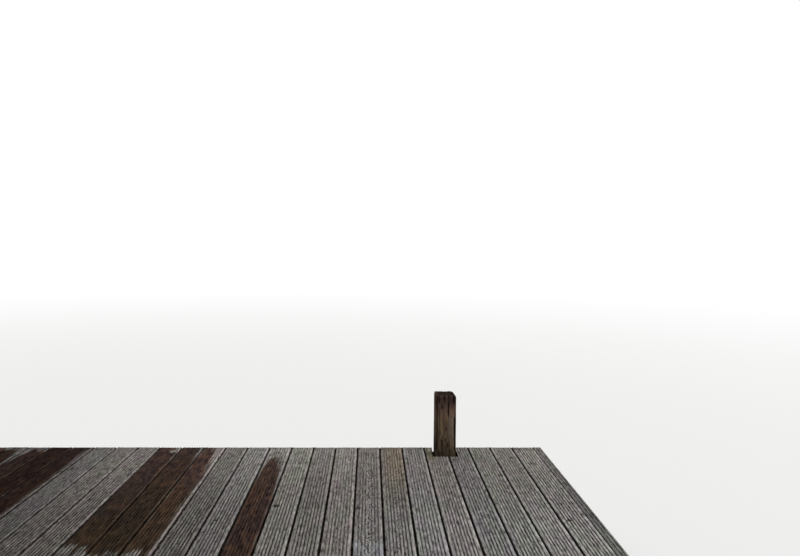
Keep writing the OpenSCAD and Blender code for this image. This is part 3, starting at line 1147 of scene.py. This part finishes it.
def packed_dirt(left, right, low, high, floor, height, rng):
    """A plug in a gap from y low to y high. Its top is at height * (1 - t^16) over the floor, where
    t goes from -1 to 1 along it, less random dips, it is hollow across by a parabola, and it stays
    under the boards' face."""
    t = np.array([-1, -0.85, -0.4, 0, 0.4, 0.85, 1])[:, None]
    across = np.linspace(0, 1, 3)
    dips = rng.uniform(-1, 1, (7, 3)) - 4 * across * (1 - across)
    top = height * (1 - t**16) * (1 + 0.16 * dips)
    top = np.clip(top, DIRT_LEAST, BOARD_T - DIRT_UNDER_FACE)
    points = np.zeros((7, 6, 3))
    points[..., 0] = left + (right - left) * np.concatenate([across, across[::-1]])
    points[..., 1] = (low + high) / 2 + t * (high - low) / 2
    points[:, :3, 2] = floor
    points[:, 3:, 2] = floor + top[:, ::-1]
    return tube(points, {"lie": points})


def dark_earth():
    """Nearly black grit with patches of moss."""
    finish = Finish("dark_earth")
    lie = finish.mark("lie", "Vector")
    grit = finish.noise(lie, 600, 600, 3.0)
    mossy = finish.noise(lie, 40, 9, 2.0).rise(0.52, 0.66)
    colour = finish.dim(finish.blend(mossy, DIRT_BLACK, DIRT_MOSSY), 0.3 + 1.4 * grit)
    return finish.end(colour, 0.95, grit * 0.003)


def mossy_dirt():
    """Pale green, like felt, with darker hollows."""
    finish = Finish("mossy_dirt")
    lie = finish.mark("lie", "Vector")
    tuft = finish.noise(lie, 300, 300, 3.0)
    colour = finish.blend(finish.noise(lie, 70, 70, 2.0).rise(0.35, 0.60), MOSS, MOSS_PALE)
    return finish.end(finish.dim(colour, 0.5 + tuft), 0.95, tuft * 0.003)


rng = np.random.default_rng(850)
under_boards = deck_top - BOARD_T
plugs = []
gap_edges = [(first_edge, first_edge + STRIP_GAP)]
gap_edges += [(x - BOARD_W / 2 - BOARD_GAP, x - BOARD_W / 2) for x in sorted(board_x.values())[1:]]
supports = [(joist, DIRT_ON_JOISTS) for joist in joist_nodes]
supports += [(fascia, DIRT_ON_FASCIAS) for fascia in ("water_fascia", "bank_fascia")]
for support, heights in supports:
    low, high = box(support)
    start = max(low[1] - DIRT_OVERHANG, cad_low[1] + DIRT_INSET)
    stop = min(high[1] + DIRT_OVERHANG, cad_high[1] - DIRT_INSET)
    for left, right in gap_edges:
        height = rng.uniform(*heights)
        edges = (left - DIRT_OVERLAP, right + DIRT_OVERLAP)
        plugs += [packed_dirt(*edges, start, stop, under_boards, height, rng)]
put("packed_dirt", [], plugs, dark_earth(), 60)

low, high = box("water_fascia")
start, stop = low[1] - DIRT_OVERHANG, high[1] + DIRT_OVERHANG
pads = []
for bent in range(1, BENTS + 1, 2):
    edge = box(f"mooring_pile_{bent}")[0][0] - NOTCH_SIDE
    edges = (edge - DIRT_OVERLAP, edge + PAD_W)
    pads += [packed_dirt(*edges, start, stop, under_boards, PAD_H, rng)]
put("mossy_dirt", [], pads, mossy_dirt(), 60)


# The fixings
# Galvanized bolts with square washers clamp the crossheads and edge joists to the piles, round
# heads hold the fascias and end planks, and two countersunk screws hold each board to each joist.
STEEL = (0.24, 0.235, 0.225, 1)
RUST = (0.085, 0.045, 0.026, 1)
OLD_SCREW = (0.030, 0.021, 0.016, 1)
WASHER_T = 0.004

# Fixings in slanting pairs: how far each lies from the middle of its pair, across and up
BOLT_OFF = (0.026, 0.045)
ROUND_HEAD_OFF = (0.03, 0.04)
NAIL_OFF = 0.04
BOLT_STANDS_OUT = 0.010

# Screws: how far they lie off their places and under the face, and off the middle of the strip
SCREW_SLIP = (0.0006, 0.006)
SCREW_SINK = 0.0022
STRIP_SCREW_OFF = 0.006

# Turned shapes: each point's radius and height
BOLT_HEAD = [(0.0135, 0), (0.0135, 0.009), (0.0120, 0.0105)]
WASHER = [(0.034, 0), (0.034, WASHER_T)]
BOLT_END = [(0.008, 0), (0.008, 0.020), (0.0068, 0.022)]
ROUND_HEAD = [(0.014, 0), (0.0125, 0.002), (0.008, 0.0036), (0.001, 0.0042)]
NAIL_HEAD = [(0.006, 0), (0.0055, 0.0012), (0.001, 0.0018)]
SCREW = [(0.0036, -0.003), (0.0045, 0), (0.0041, 0.0004), (0.0019, 0.0004), (0.0015, -0.0012)]


def turned(profile, foot, way, sign, sides):
    """A small piece turned about an axis: the radii and heights of a profile, carried round."""
    radius, height = np.array(profile).T
    angle = 2 * np.pi * (np.arange(sides) + 0.5) / sides
    points = np.zeros((len(radius), sides, 3))
    points[..., (way + 2) % 3] = radius[:, None] * np.cos(angle)
    points[..., (way + 1) % 3] = radius[:, None] * np.sin(angle) * sign
    points[..., way] = height[:, None] * sign
    return tube(points + np.array(foot), {"lie": points + np.array(foot)})


def rusty_steel(name, rust_colour, clean, rusted):
    """Dull zinc that turns to rust where a noise passes from clean to rusted."""
    finish = Finish(name)
    lie = finish.mark("lie", "Vector")
    rust = finish.noise(lie, 120, 120, 3.0).rise(clean, rusted)
    colour = finish.blend(rust, STEEL, rust_colour)
    relief = finish.noise(lie, 900, 900, 2.0) * 0.0002
    return finish.end(colour, 0.55 + 0.35 * rust, relief, 0.6 * (1 - rust), 0.2)


def bolt(spot, way, sign):
    """A square washer with a six-sided head on it."""
    head = list(spot)
    head[way] += sign * WASHER_T
    return [turned(WASHER, spot, way, sign, 4), turned(BOLT_HEAD, head, way, sign, 6)]


steel = rusty_steel("rusty_steel", RUST, 0.42, 0.62)
old_screw_steel = rusty_steel("old_screw_steel", OLD_SCREW, 0.20, 0.40)
bolts = []
for bent in range(1, BENTS + 1):
    low, high = box(f"crossheads_{bent}")
    mooring = f"mooring_pile_{bent}"
    far_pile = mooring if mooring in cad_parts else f"water_pile_{bent}"
    # Which way is out, the pile, its edge joist and fascia, and which corner of a box lies outwards
    sides = (
        (1, far_pile, joist_nodes[0], "water_fascia", 1),
        (-1, f"bank_pile_{bent}", joist_nodes[-1], "bank_fascia", 0),
    )
    for row, pile, joist, fascia, outer in sides:
        for step in (-1, 1):
            y = middle_of(pile)[1] + BOLT_OFF[0] * step
            z = (low[2] + high[2]) / 2 + BOLT_OFF[1] * step
            bolts += bolt((low[0], y, z), 0, -1)
            bolts += [turned(BOLT_END, (low[0] - WASHER_T - BOLT_STANDS_OUT, y, z), 0, -1, 12)]
            bolts += bolt((high[0], y, z), 0, 1)
            x = bent_x[bent] + ROUND_HEAD_OFF[0] * step
            z = middle_of(fascia)[2] + ROUND_HEAD_OFF[1] * step
            bolts += [turned(ROUND_HEAD, (x, box(fascia)[outer][1], z), 1, row, 12)]
        bolts += bolt((bent_x[bent], box(joist)[1 - outer][1], middle_of(joist)[2]), 1, -row)
for node, side in (("right_end_plank", 1), ("left_end_plank", -1)):
    for joist in joist_nodes:
        for step in (-1, 1):
            face = box(node)[(side + 1) // 2][0]
            spot = (face, middle_of(joist)[1], middle_of(node)[2] + NAIL_OFF * step)
            bolts += [turned(NAIL_HEAD, spot, 0, side, 10)]
put("bolts", [], bolts, steel)

screw_off = BOARD_W / 2 - EDGE_RIDGE - GROOVE_W / 2 - GROOVE_PITCH
screw_rows = [middle_of(joist)[1] for joist in joist_nodes]
rng = np.random.default_rng(900)
screws = []
for centre in (cad_high[0] - STRIP_W / 2 + STRIP_SCREW_OFF, *board_x.values()):
    for side in (-1, 1) if centre in board_x.values() else (0,):
        for y in screw_rows:
            slip = rng.uniform(-1, 1, 2) * SCREW_SLIP
            spot = (centre + side * screw_off + slip[0], y + slip[1], deck_top - SCREW_SINK)
            screws += [turned(SCREW, spot, 2, 1, 8)]
put("deck_screws", [], screws, old_screw_steel)
